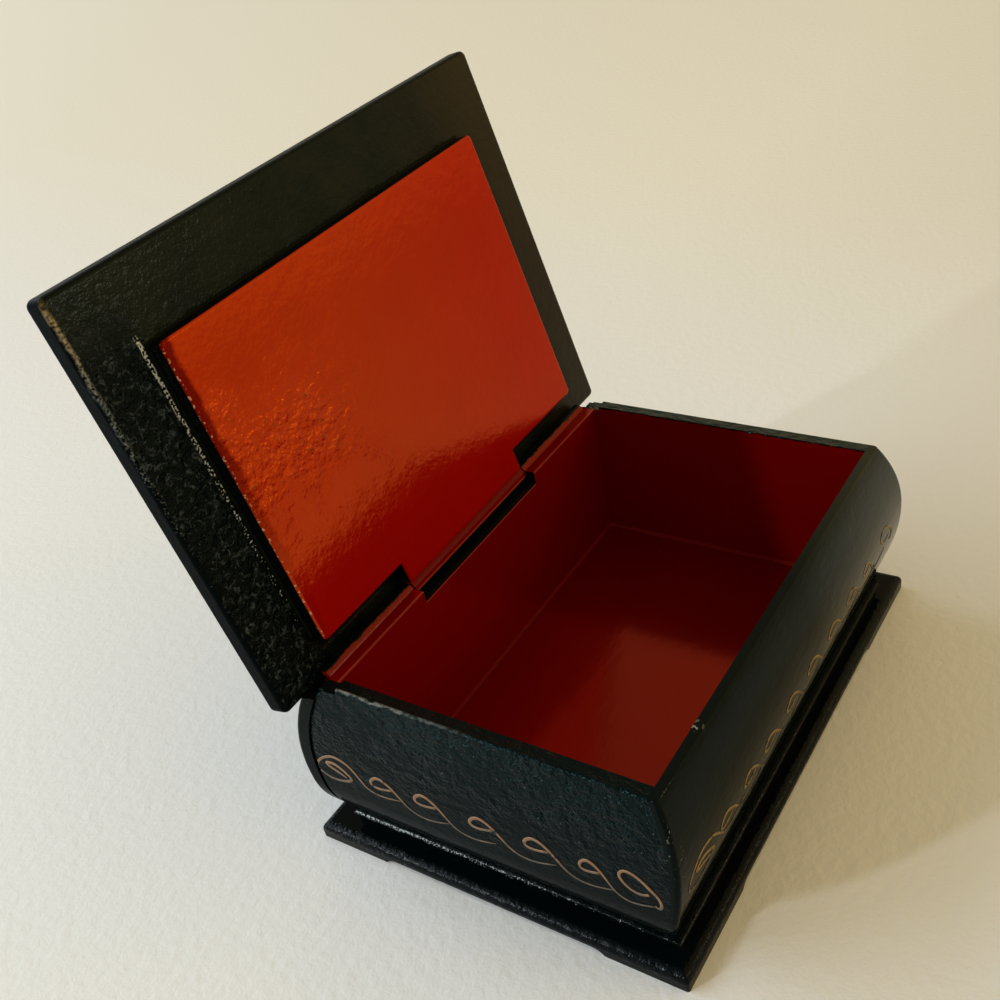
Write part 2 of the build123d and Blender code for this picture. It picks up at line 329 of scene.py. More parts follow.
def painted_edge_highlight(tree, red, across, y, z):
    """A painted highlight: the pale line along the upper inside edge of the back board."""
    notch_edge = all_of(tree, band(tree, across, START, notch_half), band(tree, z, notch_floor, END, clean))
    step_edge = band(tree, z, step_z, END, clean)
    inside_edge = band(tree, y, inner_back - 0.1 * mm, inner_back + 0.3 * mm, 0.08 * mm)
    return all_of(tree, red, either(tree, notch_edge, step_edge), inside_edge)


def wear_and_glints_on_walls(tree, where, x, across, y, z, unsteady):
    """Wear and painted light: the left rim, partly worn and partly a painted highlight,
    the front corners, three chips, and painted glints on the left wall.
    """
    to_back = add(tree, SPREAD, {"Value": y, "From Min": -2 * mm, "From Max": 24 * mm})
    grain = add(tree, NOISE, {"Vector": where, "Scale": 1 / (1.2 * mm), "Detail": 3})
    uneven = add(tree, SPREAD, {"Value": grain, "From Min": 0.35, "From Max": 0.6, "To Min": 0.15})
    # The left rim: partly rubbed through, partly a painted highlight along its outer edge.
    left_rim_wear_and_highlight = all_of(
        tree, band(tree, z, rim_z - 0.24 * mm, rim_z + 0.1 * mm, 0.08 * mm, unsteady), to_back, uneven,
        band(tree, x, past_left, -inner_x - 2.2 * mm, 0.1 * mm))
    front_corners = all_of(
        tree, band(tree, across, 51 * mm, past_right, 0.2 * mm),
        band(tree, y, -42 * mm, -37.6 * mm, 0.15 * mm, unsteady),
        band(tree, z, 34.5 * mm, 39 * mm, 0.8 * mm), specks(tree, where, 0.4 * mm, 0.5))
    chips = either(
        tree, patch(tree, where, (-33.8, -34.3, 40.2), 1.5), patch(tree, where, (52.5, -30.0, 24.0), 0.9),
        patch(tree, where, (-52.5, -37.6, 12.0), 1.2))
    broken_chips = all_of(tree, chips, specks(tree, where, 0.8 * mm, 0.8))
    # Painted glints: pale specks high on the left wall, for light caught by its pebbles.
    painted_glints = all_of(
        tree, band(tree, z, 25 * mm, 39 * mm, 4 * mm),
        band(tree, x, past_left, -inner_x - 2.6 * mm, 0.2 * mm), specks(tree, where, 0.4 * mm, 0.17))
    faint_painted_glints = add(tree, MATH, {0: painted_glints, 1: 0.45}, operation="MULTIPLY")
    return either(tree, left_rim_wear_and_highlight, front_corners, faint_painted_glints, broken_chips)


# %% Lacquer of the walls
def box_lacquer(name, sheen, gloss, roughness, depth, foot_depth, drawn_out):
    """Black and red lacquer. Depth is the height of the pebbles above, foot_depth below."""
    finish, tree, shader, where = new_finish(name)
    x, y, z = add(tree, "ShaderNodeSeparateXYZ", {0: where}).outputs
    across = add(tree, MATH, {0: x}, operation="ABSOLUTE")
    unsteady = ragged(tree, where, 3 * mm, 0.25 * mm)
    red = red_on_walls(tree, across, y, z, unsteady)
    red_edge_highlight = painted_edge_highlight(tree, red, across, y, z)
    wear_and_glints = wear_and_glints_on_walls(tree, where, x, across, y, z, unsteady)

    mottle = add(tree, NOISE, {"Vector": where, "Scale": 1 / (6 * mm), "Detail": 3})
    black = add(tree, MIX, {0: mottle, 6: BLACK, 7: BLACK_CLOUD}, data_type="RGBA")
    # Painted reflection: the black turns a lighter hazy brown towards the foot, for the table it mirrors.
    painted_foot_reflection = add(tree, SPREAD, {"Value": z, "From Min": 14 * mm, "From Max": 8 * mm})
    black = add(tree, MIX, {0: painted_foot_reflection, 6: black, 7: FOOT_REFLECTION}, data_type="RGBA")
    painted = add(tree, MIX, {0: red, 6: black, 7: RED}, data_type="RGBA")
    # Painted highlight: a pale red line along the back board's upper inside edge.
    painted = add(tree, MIX, {0: red_edge_highlight, 6: painted, 7: EDGE_HIGHLIGHT_RED}, data_type="RGBA")
    pale_ground_and_glint = add(tree, MIX, {0: mottle, 6: GROUND_AND_GLINT_DARK, 7: GROUND_AND_GLINT}, data_type="RGBA")
    # Wear, the rim's painted highlight and the painted glints all take the pale ground colour.
    glints_and_wear = add(tree, MATH, {0: wear_and_glints, 1: 0.7}, operation="MULTIPLY")
    colour = add(tree, MIX, {0: glints_and_wear, 6: painted, 7: pale_ground_and_glint}, data_type="RGBA")

    upper = add(tree, SPREAD, {
        "Value": z, "From Min": 18 * mm, "From Max": 30 * mm, "To Min": foot_depth, "To Max": depth})
    black_side = add(tree, MATH, {0: 1.04, 1: red}, operation="SUBTRACT")
    patchy = add(tree, SPREAD, {
        "Value": mottle, "From Min": 0.35, "From Max": 0.65, "To Min": 0.45, "To Max": 1.35})
    height = all_of(tree, upper, black_side, patchy)
    to_right = add(tree, SPREAD, {
        "Value": x, "From Min": 5 * mm, "From Max": 45 * mm, "To Min": 1.0, "To Max": 4.0})
    to_rim = add(tree, SPREAD, {
        "Value": z, "From Min": 14 * mm, "From Max": 38 * mm, "To Min": gloss / 6, "To Max": gloss})
    plug(tree, shader, {
        "Base Color": colour, "Roughness": roughness,
        "Specular Tint": add(tree, MIX, {0: red, 6: linear(sheen), 7: WARM_SHEEN}, data_type="RGBA"),
        "Specular IOR Level": all_of(tree, to_right, to_rim),
        "Metallic": add(tree, MATH, {0: red, 1: 0.35}, operation="MULTIPLY"),
        "Normal": pebbles(tree, where, height, drawn_out, (0.3, 0.3, 0.2))})
    return finish


brushed_lacquer = box_lacquer(
    "brushed_black_and_red_lacquer", "#A4E0E0", gloss=0.115, roughness=0.18,
    depth=0.7 * mm, foot_depth=0.12 * mm, drawn_out=(1, 0.7, 1))
smooth_lacquer = box_lacquer(
    "smooth_black_and_red_lacquer", "#D0E8D0", gloss=0.09, roughness=0.1,
    depth=0.07 * mm, foot_depth=0.05 * mm, drawn_out=(0.5, 1, 1))
wear_finish(brushed_lacquer, "left_wall", "right_wall")
wear_finish(smooth_lacquer, "front_wall", "back_wall")

# %% [markdown]
# ## Floor, neck and plinth
# The floor is red, brushed smooth. Thick red lacquer tints even the light it mirrors, which a plain
# glossy paint doesn't, so the red is partly metallic.

# %% Floor
floor_lacquer, tree, shader, where = new_finish("smooth_red_lacquer")
plug(tree, shader, {
    "Base Color": RED, "Specular Tint": WARM_SHEEN, "Roughness": 0.15, "Specular IOR Level": 0.7,
    "Metallic": 0.58, "Normal": pebbles(tree, where, 0.025 * mm, (0.4, 1, 1))})
wear_finish(floor_lacquer, "floor_board")

# %% [markdown]
# The neck is the low step that the walls stand on. It is red inside and black outside, with a dotted
# painted highlight along its foot on the left, where the cove there catches light. The highlight is
# a band broken into specks, more of them towards the back, so it needs no pieces of its own.

# %% Neck
neck_lacquer, tree, shader, where = new_finish("neck_black_and_red_lacquer")
x, y, z = add(tree, "ShaderNodeSeparateXYZ", {0: where}).outputs
across = add(tree, MATH, {0: x}, operation="ABSOLUTE")
neck_inside = all_of(
    tree, band(tree, across, START, inner_x + 0.1 * mm, crisp),
    band(tree, y, inner_front - 0.1 * mm, inner_back + 0.1 * mm, crisp))
# Painted highlight: a dotted pale line along the neck's foot on the left, where its cove catches light.
dust_and_glint_share = add(tree, SPREAD, {
    "Value": y, "From Min": -25 * mm, "From Max": 25 * mm, "To Min": 0.3, "To Max": 1.0})
painted_glint_line = all_of(
    tree, band(tree, z, 3.55 * mm, 3.85 * mm, 0.06 * mm, ragged(tree, where, 3 * mm, 0.06 * mm)),
    band(tree, x, past_left, -49.5 * mm, 0.2 * mm), specks(tree, where, 0.4 * mm, dust_and_glint_share))
colour = add(tree, MIX, {0: neck_inside, 6: BLACK, 7: linear("#8E2418")}, data_type="RGBA")
with_glint_line = add(tree, MIX, {0: painted_glint_line, 6: colour, 7: linear("#B4BAB4")}, data_type="RGBA")
plug(tree, shader, {
    "Base Color": with_glint_line, "Roughness": 0.1, "Specular IOR Level": 0.12,
    "Normal": pebbles(tree, where, 0.16 * mm)})
wear_finish(neck_lacquer, "plinth_step")

# %% [markdown]
# The plinth is black all over, thick with lacquer on its flat top, where it mirrors the walls, and
# rubbed rough along its rounded edge, where it is picked up. Grey specks on that edge, more of them
# on the left and towards the back, are painted glints. How far a point is from the board's outline
# tells the edge from the flat top on all four sides at once.

# %% Plinth
plinth_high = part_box("plinth_board")[1]
plinth_lacquer, tree, shader, where = new_finish("thick_black_lacquer")
x, y, z = add(tree, "ShaderNodeSeparateXYZ", {0: where}).outputs
across = add(tree, MATH, {0: x}, operation="ABSOLUTE")
along = add(tree, MATH, {0: y}, operation="ABSOLUTE")
past_end = add(tree, MATH, {0: across, 1: plinth_high.x}, operation="SUBTRACT")
past_side = add(tree, MATH, {0: along, 1: plinth_high.y}, operation="SUBTRACT")
past_edge = add(tree, MATH, {0: past_end, 1: past_side}, operation="MAXIMUM")
on_round = all_of(
    tree, band(tree, past_edge, -1.7 * mm, END, 0.15 * mm, ragged(tree, where, 2 * mm, 0.3 * mm)),
    band(tree, z, 1.5 * mm, 4 * mm, 0.1 * mm))
on_left = add(tree, SPREAD, {"Value": x, "From Min": -50 * mm, "From Max": -53 * mm, "To Min": 0.3})
to_back = add(tree, SPREAD, {
    "Value": y, "From Min": 0, "From Max": 36 * mm, "To Min": 0.15, "To Max": 0.6})
# Painted glints: grey specks on the rounded edge, more of them on the left and towards the back.
glint_share = all_of(tree, on_left, to_back)
glints_and_wear = all_of(tree, on_round, specks(tree, where, 0.45 * mm, glint_share))
colour = add(tree, MIX, {0: glints_and_wear, 6: BLACK, 7: linear("#3A3B36")}, data_type="RGBA")
deep = add(tree, MATH, {0: on_round, 1: 0.22 * mm, 2: 0.03 * mm}, operation="MULTIPLY_ADD")
matt = add(tree, MATH, {0: on_round, 1: 0.14, 2: 0.06}, operation="MULTIPLY_ADD")
plug(tree, shader, {
    "Base Color": colour, "Roughness": matt, "Specular IOR Level": 0.08,
    "Normal": pebbles(tree, where, deep)})
wear_finish(plinth_lacquer, "plinth_board")

# %% [markdown]
# ## The lid
# The lid is lacquered like the rest, but it stands open, askew to the axes. Its marks could be drawn
# on an unwrapped map of it, but bands between two coordinates are simpler and never stretch. So its
# materials turn each point back to where it is with the lid closed, where its edges lie along the
# axes.

# %% Turn to the closed lid
turn_back = Matrix.Rotation(lid_opening, 4, "X")
shift_back = hinge_place - turn_back @ hinge_place


def closed_place(tree, where):
    """Each point of the open lid where it is with the lid closed, whole and as x, y and z."""
    closed = add(tree, "ShaderNodeMapping", {
        "Vector": where, "Rotation": (lid_opening, 0, 0), "Location": shift_back})
    return closed, add(tree, "ShaderNodeSeparateXYZ", {0: closed}).outputs


# %% [markdown]
# The board is black: smooth and cloudy olive over most of the border, painted lighter brown at the
# right as a painted reflection, and strongly pebbled along its left end, where pale painted glints
# lie on the pebbles. The edge there is worn to the tan ground near the corner, and further along it
# carries a grey painted highlight. A dotted line of dust and painted glints runs in the corner beside
# the panel. Wear, highlight, dust and glints are noise cut off at a level, which breaks them into
# specks, and the level changes along the edge, so that they thin out.

# %% Lid board: where its marks are
lid_lacquer, tree, shader, where = new_finish("cloudy_black_lacquer")
closed, (x, y, z) = closed_place(tree, where)
under = band(tree, z, 0, lid_under + 0.12 * mm, 0.08 * mm)
left_strip = add(tree, SPREAD, {"Value": x, "From Min": -43 * mm, "From Max": -46 * mm})
short_of_corner = add(tree, SPREAD, {"Value": y, "From Min": -43 * mm, "From Max": -33 * mm})
pebbled = all_of(tree, left_strip, short_of_corner)
smooth_part = add(tree, MATH, {0: 1, 1: pebbled}, operation="SUBTRACT")
clouds = add(tree, NOISE, {"Vector": closed, "Scale": 1 / (9 * mm), "Detail": 5, "Roughness": 0.6})
olive = add(tree, SPREAD, {"Value": clouds, "From Min": 0.35, "From Max": 0.7})
olive_under = all_of(tree, olive, smooth_part, under)
# Painted reflection: the border is painted a lighter brown towards the right.
painted_lighter_right = add(tree, SPREAD, {"Value": x, "From Min": 35 * mm, "From Max": 52 * mm})

# The left edge: tan wear near the corner, and a grey painted highlight further along the arris.
edge_share = add(tree, SPREAD, {
    "Value": y, "From Min": 14 * mm, "From Max": -40 * mm, "To Min": 0.15, "To Max": 0.95})
edge_grain = add(tree, NOISE, {"Vector": closed, "Scale": 1 / (0.45 * mm), "Detail": 3})
least_grain = add(tree, SPREAD, {"Value": edge_share, "To Min": 0.8, "To Max": 0.3})
grain_over = add(tree, MATH, {0: edge_grain, 1: least_grain}, operation="SUBTRACT")
edge_wear_and_highlight = add(tree, SPREAD, {"Value": grain_over, "From Min": 0.0, "From Max": 0.25, "To Max": 0.8})
worn_and_highlit_edge = all_of(
    tree, band(tree, x, -56.3 * mm, -55.7 * mm, 0.22 * mm, ragged(tree, closed, 5 * mm, 0.3 * mm)),
    band(tree, z, 0, lid_under + 0.75 * mm, 0.1 * mm), band(tree, y, -45.5 * mm, 14 * mm, 2 * mm),
    edge_wear_and_highlight)

# A dotted line of dust and painted glints in the corner beside the panel.
dust_and_glint_share = add(tree, SPREAD, {
    "Value": y, "From Min": 20 * mm, "From Max": -25 * mm, "To Min": 0.35, "To Max": 0.95})
corner_dust_and_glints = all_of(
    tree, band(tree, x, -45.55 * mm, -44.8 * mm, 0.12 * mm, ragged(tree, closed, 4 * mm, 0.15 * mm)),
    under, band(tree, y, -35 * mm, 26 * mm, 0.5 * mm), specks(tree, closed, 0.45 * mm, dust_and_glint_share))
# Painted glints: pale blotches on the crests of the pebbled left strip.
crinkle = add(tree, NOISE, {
    "Vector": closed, "Scale": 1 / (1.3 * mm), "Detail": 5, "Roughness": 0.7, "Distortion": 0.8})
crest = add(tree, SPREAD, {"Value": crinkle, "From Min": 0.54, "From Max": 0.74})
painted_strip_glints = all_of(tree, under, pebbled, crest)

# %% Lid board: its paint
board = add(tree, MIX, {0: olive_under, 6: BLACK, 7: linear("#15170F")}, data_type="RGBA")
painted_lighter_under = all_of(tree, painted_lighter_right, under)
board = add(tree, MIX, {0: painted_lighter_under, 6: board, 7: linear("#2A2115")}, data_type="RGBA")
tan_end = add(tree, SPREAD, {"Value": y, "From Min": -30 * mm, "From Max": -44 * mm})
edge_colour_worn_and_highlit = add(tree, MIX, {0: tan_end, 6: linear("#8A9294"), 7: linear("#C0AA80")}, data_type="RGBA")
board = add(tree, MIX, {0: worn_and_highlit_edge, 6: board, 7: edge_colour_worn_and_highlit}, data_type="RGBA")
board = add(tree, MIX, {0: corner_dust_and_glints, 6: board, 7: linear("#C6CED2")}, data_type="RGBA")
board = add(tree, MIX, {0: painted_strip_glints, 6: board, 7: linear("#4C565E")}, data_type="RGBA")
deep = add(tree, MATH, {
    0: all_of(tree, pebbled, under), 1: 0.65 * mm, 2: 0.11 * mm}, operation="MULTIPLY_ADD")
gloss = add(tree, MATH, {0: all_of(tree, under, smooth_part), 1: 0.08, 2: 0.08}, operation="MULTIPLY_ADD")
dull_end = add(tree, SPREAD, {
    "Value": x, "From Min": -55.6 * mm, "From Max": -56.0 * mm, "To Min": 1.0, "To Max": 0.25})
plug(tree, shader, {
    "Base Color": board, "Specular Tint": linear("#CDE6DC"),
    "Roughness": add(tree, SPREAD, {"Value": under, "To Min": 0.4, "To Max": 0.2}),
    "Specular IOR Level": all_of(tree, gloss, dull_end), "Normal": pebbles(tree, closed, deep)})
wear_finish(lid_lacquer, "lid_board")

# %% [markdown]
# The panel is black on its sides and red on its face and beside the lid's barrel. It is smooth near
# the hinge and glossier on the left than on the right. Along its very left edge it is duller and
# painted dark red as painted shade, more so towards the front, and its left arris carries pale
# painted glints. The middle of its left half is pebbled, with dark red specks in it as painted
# shade in the pits. Each of these is a mark of its own, so one can be changed without the others.

# %% Lid panel: where its marks are
panel_lacquer, tree, shader, where = new_finish("panel_red_lacquer")
closed, (x, y, z) = closed_place(tree, where)
across = add(tree, MATH, {0: x}, operation="ABSOLUTE")
face = band(tree, z, 0, panel_face + 0.42 * mm, 0.04 * mm, ragged(tree, closed, 3 * mm, 0.08 * mm))
tongue = all_of(
    tree, band(tree, y, 27.2 * mm, 40 * mm), band(tree, z, 0, panel_face + 3.0 * mm, 0.1 * mm),
    band(tree, across, START, barrel_high.x - 0.1 * mm, crisp))
red_part = either(tree, face, tongue)
to_front = add(tree, SPREAD, {
    "Value": y, "From Min": 12 * mm, "From Max": -12 * mm, "To Min": 0.2, "To Max": 0.9})
# Painted shade: dark red along the panel's very left edge, stronger towards the front.
painted_shade_side = all_of(
    tree, band(tree, x, -50 * mm, -42.4 * mm, 0.5 * mm, ragged(tree, closed, 4 * mm, 0.5 * mm)), to_front)
outside_painted_shade = add(tree, MATH, {0: 1, 1: painted_shade_side}, operation="SUBTRACT")
# Painted glints: pale dots along the panel's left arris.
painted_arris_glints = all_of(
    tree, band(tree, x, -44.3 * mm, -43.85 * mm, 0.06 * mm), specks(tree, closed, 0.6 * mm, 0.6), face)
left_half = add(tree, SPREAD, {"Value": x, "From Min": -4 * mm, "From Max": -24 * mm})
mid_left = all_of(
    tree, left_half, band(tree, y, -16 * mm, 3 * mm, 6 * mm, ragged(tree, closed, 8 * mm, 5 * mm)))
# Painted shade: dark red specks in the pits of the pebbled middle of the left half.
painted_pit_shade = all_of(tree, mid_left, specks(tree, closed, 1.3 * mm, 0.3), red_part)

# %% Lid panel: its paint
cloud = add(tree, NOISE, {"Vector": closed, "Scale": 1 / (12 * mm), "Detail": 3})
red = add(tree, MIX, {0: cloud, 6: linear("#BE0D05"), 7: linear("#B10A03")}, data_type="RGBA")
red = add(tree, MIX, {0: painted_shade_side, 6: red, 7: linear("#6A0402")}, data_type="RGBA")
panel = add(tree, MIX, {0: red_part, 6: BLACK, 7: red}, data_type="RGBA")
panel = add(tree, MIX, {0: painted_arris_glints, 6: panel, 7: linear("#D08A78")}, data_type="RGBA")
faint_pit_shade = add(tree, MATH, {0: painted_pit_shade, 1: 0.6}, operation="MULTIPLY")
panel = add(tree, MIX, {0: faint_pit_shade, 6: panel, 7: linear("#640402")}, data_type="RGBA")
to_left = add(tree, SPREAD, {
    "Value": x, "From Min": -5 * mm, "From Max": 35 * mm, "To Min": 0.76, "To Max": 0.36})
gloss = all_of(tree, outside_painted_shade, to_left)
deep = add(tree, MATH, {0: mid_left, 1: 0.5 * mm, 2: 0.06 * mm}, operation="MULTIPLY_ADD")
matt = add(tree, SPREAD, {"Value": mid_left, "To Min": 0.13, "To Max": 0.27})
plug(tree, shader, {
    "Base Color": panel, "Specular Tint": linear("#FFF04A"), "Roughness": matt,
    "Specular IOR Level": add(tree, MATH, {0: gloss, 1: red_part, 2: 0.04}, operation="MULTIPLY_ADD"),
    "Metallic": add(tree, MATH, {0: red_part, 1: 0.33}, operation="MULTIPLY"),
    "Normal": pebbles(tree, closed, deep, (0.65, 0.65, 0.65))})
wear_finish(panel_lacquer, "lid_panel")

# %% [markdown]
# ## The hinge
# The barrels are paper tubes, painted over with their neighbours: red on the side that shows inside
# the box, and black on top and behind, where the brush of black went along the joint. Towards the top
# the red is painted a browner orange, a painted highlight on the rounding. As on the walls, one
# material parts the colours by place.

# %% Outer barrels
barrel_lacquer, tree, shader, where = new_finish("barrel_black_and_red_lacquer")
x, y, z = add(tree, "ShaderNodeSeparateXYZ", {0: where}).outputs
unsteady = ragged(tree, where, 3 * mm, 0.12 * mm)
front_side = band(tree, y, 0, hinge_place.y + 0.2 * mm, clean, unsteady)
below_top = band(tree, z, 0, hinge_place.z + 1.5 * mm, clean, unsteady)
# Painted highlight: the red turns a browner orange towards the top of the barrel.
upper = add(tree, SPREAD, {
    "Value": z, "From Min": hinge_place.z + 0.3 * mm, "From Max": hinge_place.z + 1.0 * mm})
red = add(tree, MIX, {0: upper, 6: RED, 7: linear("#7E1C0A")}, data_type="RGBA")
colour = add(tree, MIX, {0: all_of(tree, front_side, below_top), 6: BLACK, 7: red}, data_type="RGBA")
plug(tree, shader, {
    "Base Color": colour, "Roughness": 0.2, "Specular IOR Level": 0.1,
    "Normal": pebbles(tree, where, 0.05 * mm)})
wear_finish(barrel_lacquer, "hinge_knuckle_left", "hinge_knuckle_right")

# %% [markdown]
# The lid's own barrel turns with the lid, so its marks are placed as on the closed lid. It is black,
# with a dark red side below the hinge line, and along the edge of that red a brighter line that is a
# painted highlight.

# %% The lid's barrel
lid_barrel_lacquer, tree, shader, where = new_finish("lid_barrel_black_and_red_lacquer")
closed, (x, y, z) = closed_place(tree, where)
red_reach = hinge_place.y + 1.0 * mm
below = band(tree, z, 0, hinge_place.z + 0.3 * mm, clean, ragged(tree, closed, 3 * mm, 0.12 * mm))
red_side = all_of(tree, below, band(tree, y, 0, red_reach, 0.08 * mm))
# Painted highlight: a brighter red line along the edge of the red side.
painted_highlight_line = all_of(tree, band(tree, y, hinge_place.y + 0.45 * mm, red_reach, 0.12 * mm), below)
colour = add(tree, MIX, {0: red_side, 6: BLACK, 7: linear("#6E0603")}, data_type="RGBA")
colour = add(tree, MIX, {0: painted_highlight_line, 6: colour, 7: linear("#C04018")}, data_type="RGBA")
plug(tree, shader, {
    "Base Color": colour, "Roughness": 0.3, "Specular IOR Level": 0.08,
    "Normal": pebbles(tree, closed, 0.08 * mm)})
wear_finish(lid_barrel_lacquer, "lid_knuckle")

# %% [markdown]
# A steel wire runs through all three barrels. Drawing scores a wire along its length, so its
# roughness is noise drawn out ten times along the hinge line.

# %% Wire
steel_wire, tree, shader, where = new_finish("drawn_steel_wire")
lengthwise = add(tree, "ShaderNodeMapping", {"Vector": where, "Scale": (0.1, 1, 1)})
scored = add(tree, NOISE, {"Vector": lengthwise, "Scale": 1 / (0.1 * mm)})
dull = add(tree, SPREAD, {"Value": scored, "To Min": 0.25, "To Max": 0.5})
plug(tree, shader, {"Base Color": linear("#8E8A84"), "Metallic": 1.0, "Roughness": dull})
wear_finish(steel_wire, "hinge_pin")

# %% [markdown]
# ## The painted scroll
# A running scroll is painted round the foot of the walls with a fine brush and bronze powder in
# varnish. It opens with a spiral, goes on as loops with long tails, and closes with one wide loop. A
# brush stroke is a thin ribbon that swells in the turns and fades in the tail, so each kind of stroke
# is drawn once as a path with its own width at every place, laid flat, and copied along the wall.
# The strokes of one wall are joined, wrapped onto the swelling walls from outside, and given the
# thickness of paint. Places are in millimetres: along the wall from left to right as one faces it,
# up, and how wide the brush is there, as a share of its full width.

# %% Brush strokes
SPIRAL = [
    (-27.6, 21.7, 0.9), (-29.7, 22.6, 1.1), (-31.7, 23.2, 1.1), (-32.2, 23.9, 1.2), (-30.1, 24.3, 1.2),
    (-27.9, 23.3, 1.2), (-26.0, 21.8, 1.2), (-27.9, 20.6, 1.1), (-31.2, 19.9, 1.0), (-34.1, 21.0, 0.9),
    (-34.8, 22.3, 0.9), (-33.2, 24.5, 1.0), (-30.4, 26.0, 1.0), (-27.8, 25.6, 1.0), (-25.9, 24.6, 0.9),
    (-24.4, 22.8, 0.85), (-22.8, 20.7, 0.8), (-19.2, 20.1, 0.7), (-15.3, 21.1, 0.5)]
LOOP = [
    (4.7, 0.9, 0.9), (2.5, 0.2, 1.0), (0.4, 0.25, 1.1), (-0.1, 1.4, 1.2), (1.4, 2.75, 1.2),
    (3.2, 2.5, 1.15), (5.0, 1.3, 1.0), (6.3, -0.1, 0.95), (7.9, -1.9, 0.85), (10.1, -3.05, 0.75),
    (13.5, -3.05, 0.7), (17.0, -1.8, 0.45)]
LAST_LOOP = [
    (5.2, -2.2, 0.9), (4.3, -2.95, 1.0), (2.0, -2.75, 1.0), (0.2, -1.2, 1.0), (-0.2, 0.1, 1.0),
    (0.8, 1.25, 1.0), (2.7, 1.05, 1.0), (4.5, -0.1, 1.1), (5.6, -1.1, 1.25), (6.5, -1.8, 1.0),
    (7.1, -2.6, 1.0), (7.4, -3.9, 1.1), (6.8, -4.95, 0.9), (6.1, -4.3, 0.6)]
BRUSH_WIDTH = 0.56 * mm
NEW_PATH_POINTS = 5  # a new path has this many, and the rest are drawn on from its end


def brush_stroke(name, places):
    """A flat ribbon drawn through its places, as wide at each as the brush was."""
    bpy.ops.curve.primitive_nurbs_path_add()
    stroke = bpy.context.object
    stroke.name = name
    bpy.ops.object.mode_set(mode="EDIT")
    bpy.ops.curve.select_all(action="DESELECT")
    stroke.data.splines[0].points[-1].select = True
    for _ in places[NEW_PATH_POINTS:]:
        bpy.ops.curve.extrude_move(TRANSFORM_OT_translate={"value": (mm, 0, 0)})
    bpy.ops.object.mode_set(mode="OBJECT")
    path = stroke.data.splines[0]
    for point, (along, high, width) in zip(path.points, places):
        point.co = (along * mm, high * mm, 0, 1)
        point.radius = width
        point.tilt = pi / 2
    path.order_u = 3
    path.use_endpoint_u = True
    path.resolution_u = 5
    stroke.data.twist_mode = "Z_UP"
    stroke.data.extrude = BRUSH_WIDTH / 2
    bpy.ops.object.convert(target="MESH")
    print(name, len(stroke.data.polygons), "faces")
    return stroke


spiral = brush_stroke("spiral_stroke", SPIRAL)
loop = brush_stroke("loop_stroke", LOOP)
last_loop = brush_stroke("last_loop_stroke", LAST_LOOP)

# %% [markdown]
# A stroke near a corner may run onto the next wall, so the strokes are wrapped onto a joined copy of
# all four walls, which is taken away again afterwards.

# %% The surface to paint on
bpy.ops.object.select_all(action="DESELECT")
for name in ("left_wall", "front_wall", "right_wall", "back_wall"):
    nodes[name].select_set(True)
bpy.context.view_layer.objects.active = nodes["left_wall"]
bpy.ops.object.duplicate()
bpy.ops.object.join()
all_walls = bpy.context.object
print("painting surface:", len(all_walls.data.polygons), "faces")


# %% One scroll for each wall
loop_height, loop_sway, loop_lean = 22.0, 0.2, 2.0  # in mm, in mm and in degrees
last_loop_height = 24.5
shorter_tail = 0.8  # the last long tail is cut short, to leave room for the last loop
outside = 80 * mm
paint_gap, paint_thickness = 0.02 * mm, 0.04 * mm


def copy_stroke(stroke, along, high, lean=0.0, stretch=1.0):
    """A copy of a stroke at its place along and up the wall, in mm, leaning by degrees."""
    bpy.ops.object.select_all(action="DESELECT")
    stroke.select_set(True)
    bpy.context.view_layer.objects.active = stroke
    bpy.ops.object.duplicate()
    copy = bpy.context.object
    copy.location = (along * mm, high * mm, 0)
    copy.rotation_euler.z = radians(lean)
    copy.scale.x = stretch
    return copy


def scroll(name, turn, shift, stretch, loops, end, axis, forward):
    """All strokes of one wall, wrapped onto it. Loops and end are places along the wall in mm, and
    shift and stretch are for the spiral. Axis and forward say which way the strokes move onto it."""
    strokes = [copy_stroke(spiral, shift, 0, 0, stretch)]
    for number, along in enumerate(loops):
        high = loop_height + loop_sway * sin(2.3 * number)
        lean = loop_lean * sin(4.1 * number)
        length = shorter_tail if along == loops[-1] else 1.0
        strokes.append(copy_stroke(loop, along, high, lean, length))
    strokes.append(copy_stroke(last_loop, end, last_loop_height))
    bpy.ops.object.select_all(action="DESELECT")
    for stroke in strokes:
        stroke.select_set(True)
    bpy.context.view_layer.objects.active = strokes[0]
    bpy.ops.object.join()
    painted = bpy.context.object
    painted.name = name
    bpy.ops.object.transform_apply()
    painted.rotation_euler = (pi / 2, 0, turn)
    painted.location = Matrix.Rotation(turn, 4, "Z") @ Vector((0, -outside, 0))
    bpy.ops.object.transform_apply()
    wrap = painted.modifiers.new("wrap", "SHRINKWRAP")
    wrap.target = all_walls
    wrap.wrap_method = "PROJECT"
    wrap.use_project_x, wrap.use_project_y, wrap.use_project_z = axis == "x", axis == "y", False
    wrap.use_positive_direction, wrap.use_negative_direction = forward, not forward
    wrap.offset = paint_gap
    thick = painted.modifiers.new("paint_thickness", "SOLIDIFY")
    thick.thickness = paint_thickness
    thick.offset = 1
    for modifier in ("wrap", "paint_thickness"):
        bpy.ops.object.modifier_apply(modifier=modifier)
    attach(painted, "box")
    reach = max(abs(v.co.x) for v in painted.data.vertices), max(abs(v.co.y) for v in painted.data.vertices)
    print(name, len(painted.data.polygons), "faces, reaches", [round(r / mm, 1) for r in reach], "mm")
    return painted


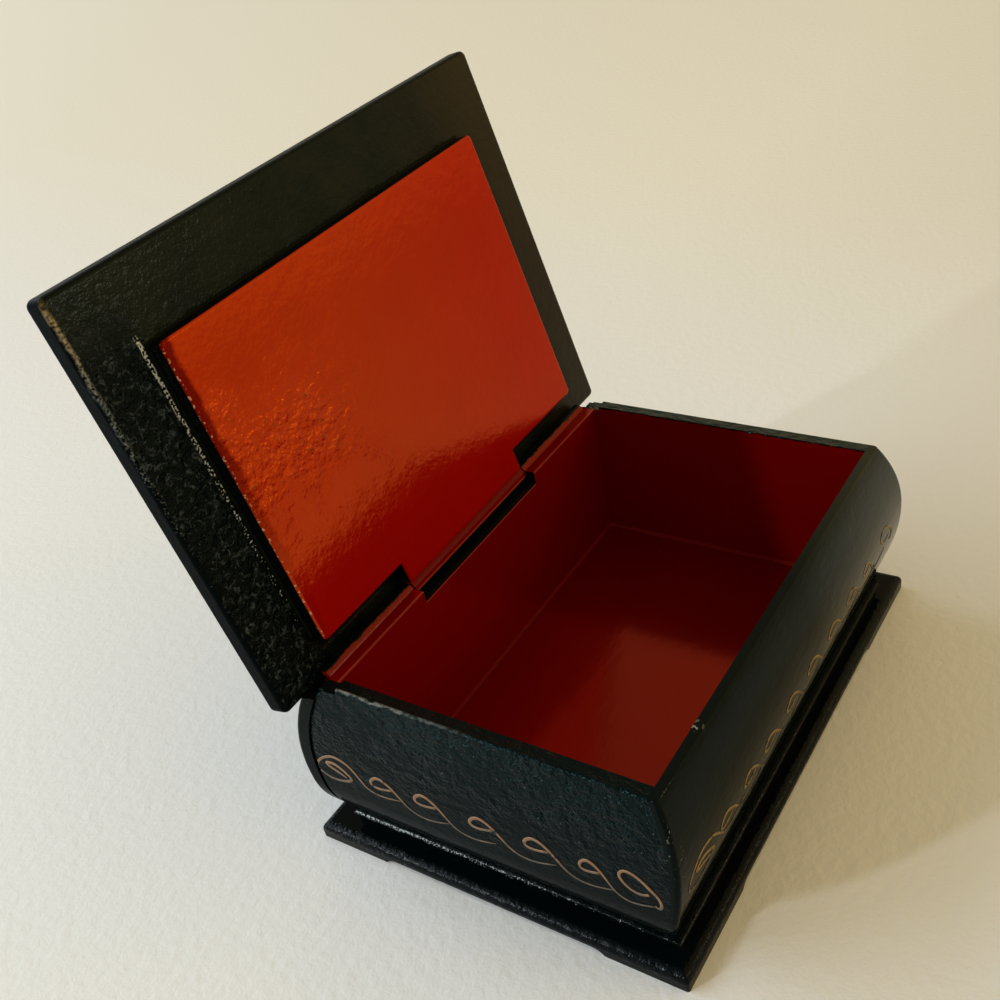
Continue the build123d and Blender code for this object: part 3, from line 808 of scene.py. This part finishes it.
end_loops = [-21.7, -11.8, 0.1, 11.2, 21.8]
long_loops = [-38.8, -29.3, -20.4, -10.4, -0.2, 10.4, 20.4, 29.9]
end_last, long_last = 29.3, 40.4
long_shift, long_stretch = -11.4, 1.15
scroll_left = scroll("scroll_left", -pi / 2, 0, 1.0, end_loops, end_last, "x", True)
scroll_front = scroll(
    "scroll_front", 0, long_shift, long_stretch, long_loops, long_last, "y", True)
from_seam = 2.7  # the right wall's strokes keep clear of the seam with the back board
right_loops = [along - from_seam for along in end_loops]
scroll_right = scroll(
    "scroll_right", pi / 2, -from_seam, 1.0, right_loops, end_last - from_seam, "x", False)
scroll_back = scroll(
    "scroll_back", pi, long_shift, long_stretch, long_loops, long_last, "y", False)
for spare in (spiral, loop, last_loop, all_walls):
    bpy.data.objects.remove(spare)


# %% [markdown]
# Bronze powder lies thick where the brush was slow, in the loops, and thin in the tails, which hang
# lower. So the height above the table chooses between a full and a thin tone, and specks of the
# black below show where the paint is rubbed off.

# %% Bronze paint
def bronze_paint(name, tail, body, worn_share):
    """Bronze powder in varnish: fuller in the loops, thin in the tails, and rubbed in places."""
    finish, tree, shader, where = new_finish(name)
    x, y, z = add(tree, "ShaderNodeSeparateXYZ", {0: where}).outputs
    full = add(tree, SPREAD, {"Value": z, "From Min": 19.5 * mm, "From Max": 23.5 * mm})
    patchy = ragged(tree, where, 1.6 * mm, 0.5)
    amount = add(tree, MATH, {0: full, 1: patchy}, operation="ADD", use_clamp=True)
    tone = add(tree, MIX, {0: amount, 6: linear(tail), 7: linear(body)}, data_type="RGBA")
    gone = specks(tree, where, 1.2 * mm, worn_share)
    colour = add(tree, MIX, {0: gone, 6: tone, 7: BLACK_CLOUD}, data_type="RGBA")
    grain = add(tree, NOISE, {"Vector": where, "Scale": 1 / (0.12 * mm)})
    bump = add(tree, "ShaderNodeBump", {"Height": grain, "Distance": 0.02 * mm, "Strength": 0.6})
    plug(tree, shader, {"Base Color": colour, "Metallic": 0.25, "Roughness": 0.5, "Normal": bump})
    return finish


copper = bronze_paint("bronze_powder_paint", "#544A3C", "#8C6A4C", 0.25)
gold = bronze_paint("rubbed_bronze_powder_paint", "#1C1A12", "#8A7038", 0.5)
scroll_paints = [
    (scroll_left, copper), (scroll_right, copper), (scroll_front, gold), (scroll_back, gold)]
for painted, paint in scroll_paints:
    painted.data.materials.clear()
    painted.data.materials.append(paint)
